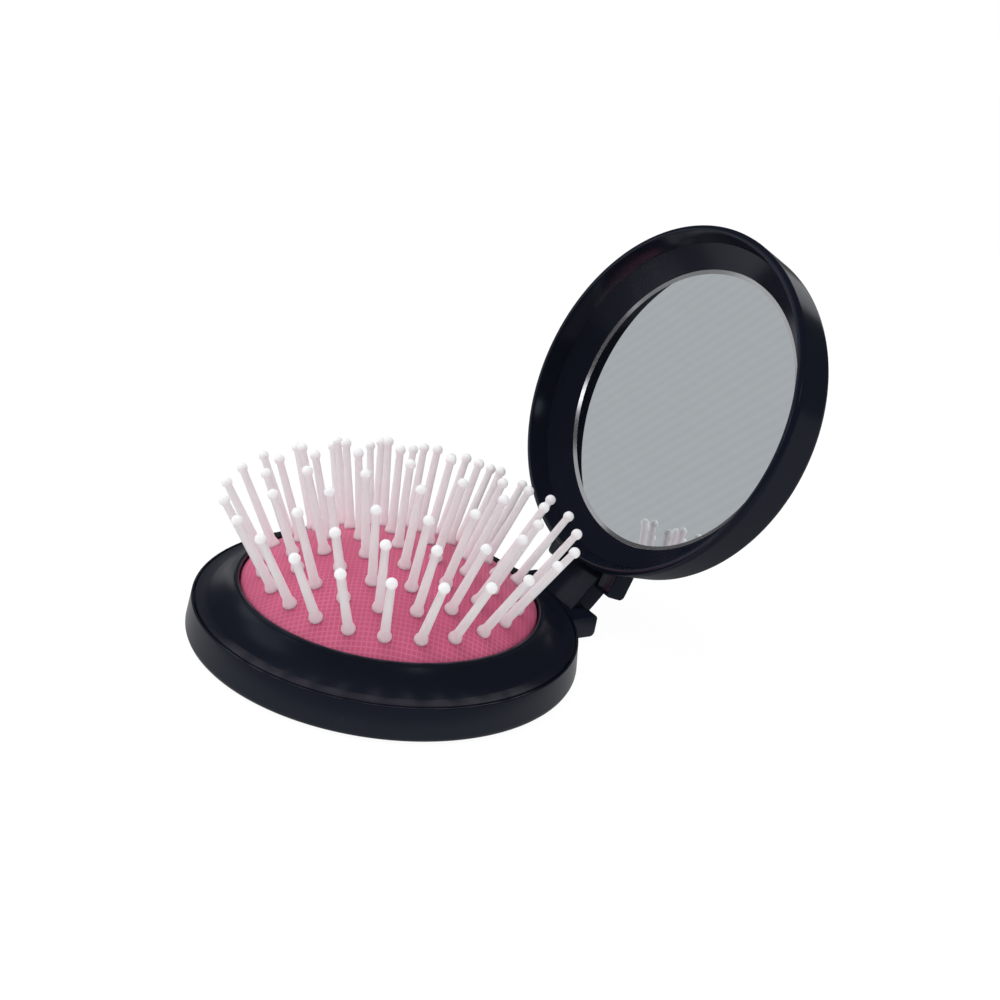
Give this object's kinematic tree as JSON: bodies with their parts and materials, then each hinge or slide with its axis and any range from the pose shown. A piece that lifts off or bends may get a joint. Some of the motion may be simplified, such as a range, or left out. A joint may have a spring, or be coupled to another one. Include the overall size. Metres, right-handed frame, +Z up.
{
  "type": "folding pop-up hairbrush with mirror",
  "caption": "Round folding pocket hairbrush: pop-up pink cushion with ball-tipped nylon bristles in a glossy black base, and a hinged lid with a mirror.",
  "frame": {"origin": "centre of the round base on its underside", "axes": "+Z up out of the base towards the bristles, +Y towards the hinge, +X to the right with the hinge behind; the lid is drawn open"},
  "size_m": [0.0684, 0.1028, 0.0748],
  "materials": {
    "black_plastic": "high gloss, moulded",
    "black_matte": "plain moulded, out of sight",
    "pink_rubber": "satin with a fine square grid",
    "nylon": "translucent white, satin",
    "steel": "drawn wire",
    "mirror_glass": "silvered glass",
    "adhesive": "foam tape"
  },
  "bodies": {
    "base": {"base_shell": "black_plastic", "top_ring": "black_plastic", "pad": "pink_rubber", "pad_clamp": "black_matte", "pins_second_ring": "nylon", "pins_outer_ring": "nylon", "base_hinge_pin": "steel"},
    "button": {"push_button": "black_matte", "centre_pin": "nylon", "pins_inner_ring": "nylon", "pins_third_ring": "nylon"},
    "link": {"hinge_link": "black_plastic"},
    "lid": {"lid_shell": "black_plastic", "mirror_frame": "black_plastic", "mirror": "mirror_glass", "mirror_adhesive": "adhesive", "lid_hinge_pin": "steel"}
  },
  "joints": [
    {"name": "link_pivot", "type": "hinge", "parent": "base", "child": "link", "pos_m": [0, 0.03695, 0.00225], "axis": [-1, 0, 0], "range_deg": [-57.2, 0]},
    {"name": "lid_pivot", "type": "hinge", "parent": "link", "child": "lid", "pos_m": [0, 0.04289, 0.00947], "axis": [-1, 0, 0], "range_deg": [-51.6, 0]},
    {"name": "button_slide", "type": "slide", "parent": "base", "child": "button", "axis": [0, 0, 1], "range_m": [-0.0206, 0], "deforming": ["pad", "pins_outer_ring", "pins_second_ring"]}
  ],
  "couplings": [
    {"joint": "button_slide", "follows": "link_pivot", "m_per_rad": 0.020534}
  ]
}
